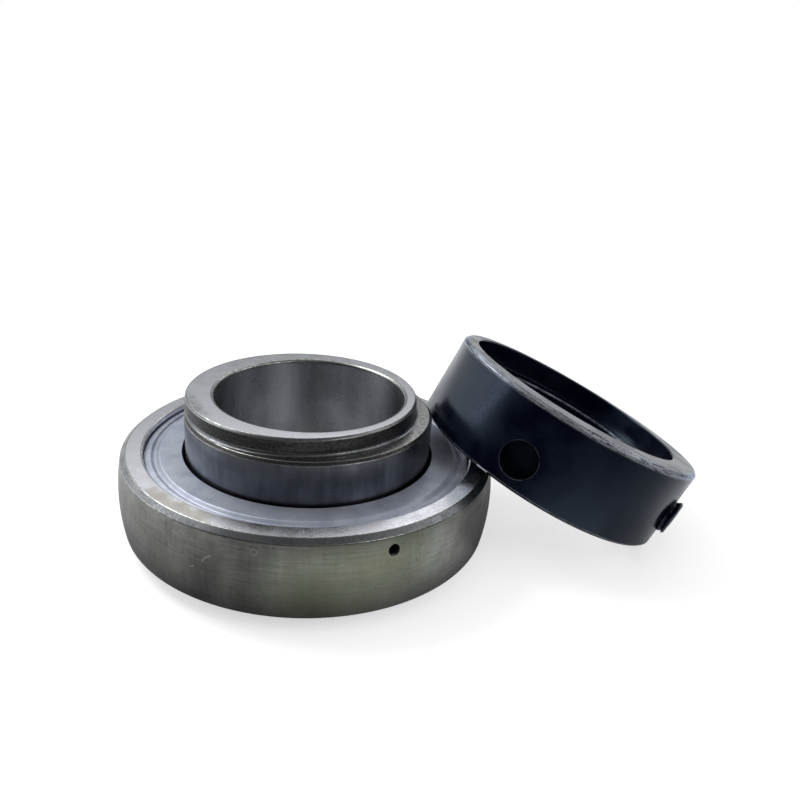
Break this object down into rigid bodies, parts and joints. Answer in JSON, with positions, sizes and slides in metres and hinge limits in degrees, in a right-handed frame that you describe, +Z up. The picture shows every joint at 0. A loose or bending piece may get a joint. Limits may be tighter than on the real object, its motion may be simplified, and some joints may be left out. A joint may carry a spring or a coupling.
{
  "type": "insert ball bearing with eccentric locking collar",
  "caption": "Insert ball bearing with a spherical outside and an eccentric cam on its inner ring, shielded on both sides, with its black locking collar lying against it.",
  "frame": {"origin": "on the shaft axis, in the plane of the inner ring's short end, which is the table that the parts stand on", "axes": "+Z up along the shaft axis, from the short end to the cam end; +X from the bearing to the collar, through the collar's lowest point"},
  "size_m": [0.1261, 0.08, 0.0407],
  "materials": {
    "ground_steel": "ground and honed bearing steel, lightly oiled",
    "ball_steel": "polished bearing steel",
    "cage_steel": "pressed steel strip",
    "shield_steel": "zinc coated pressed steel, satin",
    "seal_rubber": "moulded nitrile rubber, matt",
    "black_oxide": "turned steel with an oiled black oxide finish, worn along its edges",
    "black_oxide_screw": "hardened steel, black oxide"
  },
  "bodies": {
    "bearing": {"outer_ring": "ground_steel", "upper_shield": "shield_steel", "lower_shield": "shield_steel", "upper_seal_lip": "seal_rubber", "lower_seal_lip": "seal_rubber", "locking_collar": "black_oxide"},
    "inner_ring": {"inner_ring": "ground_steel"},
    "cage": {"upper_cage": "cage_steel", "lower_cage": "cage_steel", "rivet_1": "cage_steel", "rivet_2": "cage_steel", "rivet_3": "cage_steel", "rivet_4": "cage_steel", "rivet_5": "cage_steel", "rivet_6": "cage_steel", "rivet_7": "cage_steel", "rivet_8": "cage_steel", "rivet_9": "cage_steel"},
    "ball_1": {"ball_1": "ball_steel"},
    "ball_2": {"ball_2": "ball_steel"},
    "ball_3": {"ball_3": "ball_steel"},
    "ball_4": {"ball_4": "ball_steel"},
    "ball_5": {"ball_5": "ball_steel"},
    "ball_6": {"ball_6": "ball_steel"},
    "ball_7": {"ball_7": "ball_steel"},
    "ball_8": {"ball_8": "ball_steel"},
    "ball_9": {"ball_9": "ball_steel"},
    "set_screw": {"set_screw": "black_oxide_screw"}
  },
  "joints": [
    {"name": "inner_ring_spin", "type": "hinge", "parent": "bearing", "child": "inner_ring", "pos_m": [0, 0, 0.01101], "axis": [0, 0, 1], "continuous": true},
    {"name": "cage_orbit", "type": "hinge", "parent": "bearing", "child": "cage", "pos_m": [0, 0, 0.01101], "axis": [0, 0, 1], "continuous": true},
    {"name": "ball_1_spin", "type": "hinge", "parent": "cage", "child": "ball_1", "pos_m": [0.03, 0, 0.01101], "axis": [0, 0, 1], "continuous": true},
    {"name": "ball_2_spin", "type": "hinge", "parent": "cage", "child": "ball_2", "pos_m": [0.02298, 0.01928, 0.01101], "axis": [0, 0, 1], "continuous": true},
    {"name": "ball_3_spin", "type": "hinge", "parent": "cage", "child": "ball_3", "pos_m": [0.00521, 0.02954, 0.01101], "axis": [0, 0, 1], "continuous": true},
    {"name": "ball_4_spin", "type": "hinge", "parent": "cage", "child": "ball_4", "pos_m": [-0.015, 0.02598, 0.01101], "axis": [0, 0, 1], "continuous": true},
    {"name": "ball_5_spin", "type": "hinge", "parent": "cage", "child": "ball_5", "pos_m": [-0.02819, 0.01026, 0.01101], "axis": [0, 0, 1], "continuous": true},
    {"name": "ball_6_spin", "type": "hinge", "parent": "cage", "child": "ball_6", "pos_m": [-0.02819, -0.01026, 0.01101], "axis": [0, 0, 1], "continuous": true},
    {"name": "ball_7_spin", "type": "hinge", "parent": "cage", "child": "ball_7", "pos_m": [-0.015, -0.02598, 0.01101], "axis": [0, 0, 1], "continuous": true},
    {"name": "ball_8_spin", "type": "hinge", "parent": "cage", "child": "ball_8", "pos_m": [0.00521, -0.02954, 0.01101], "axis": [0, 0, 1], "continuous": true},
    {"name": "ball_9_spin", "type": "hinge", "parent": "cage", "child": "ball_9", "pos_m": [0.02298, -0.01928, 0.01101], "axis": [0, 0, 1], "continuous": true},
    {"name": "set_screw_travel", "type": "slide", "parent": "bearing", "child": "set_screw", "axis": [0.639, -0.7071, -0.3027], "range_m": [-0.0015, 0.006]}
  ],
  "couplings": [
    {"joint": "cage_orbit", "follows": "inner_ring_spin", "ratio": 0.4074},
    {"joint": "ball_1_spin", "follows": "inner_ring_spin", "ratio": -2.6072},
    {"joint": "ball_2_spin", "follows": "inner_ring_spin", "ratio": -2.6072},
    {"joint": "ball_3_spin", "follows": "inner_ring_spin", "ratio": -2.6072},
    {"joint": "ball_4_spin", "follows": "inner_ring_spin", "ratio": -2.6072},
    {"joint": "ball_5_spin", "follows": "inner_ring_spin", "ratio": -2.6072},
    {"joint": "ball_6_spin", "follows": "inner_ring_spin", "ratio": -2.6072},
    {"joint": "ball_7_spin", "follows": "inner_ring_spin", "ratio": -2.6072},
    {"joint": "ball_8_spin", "follows": "inner_ring_spin", "ratio": -2.6072},
    {"joint": "ball_9_spin", "follows": "inner_ring_spin", "ratio": -2.6072}
  ]
}
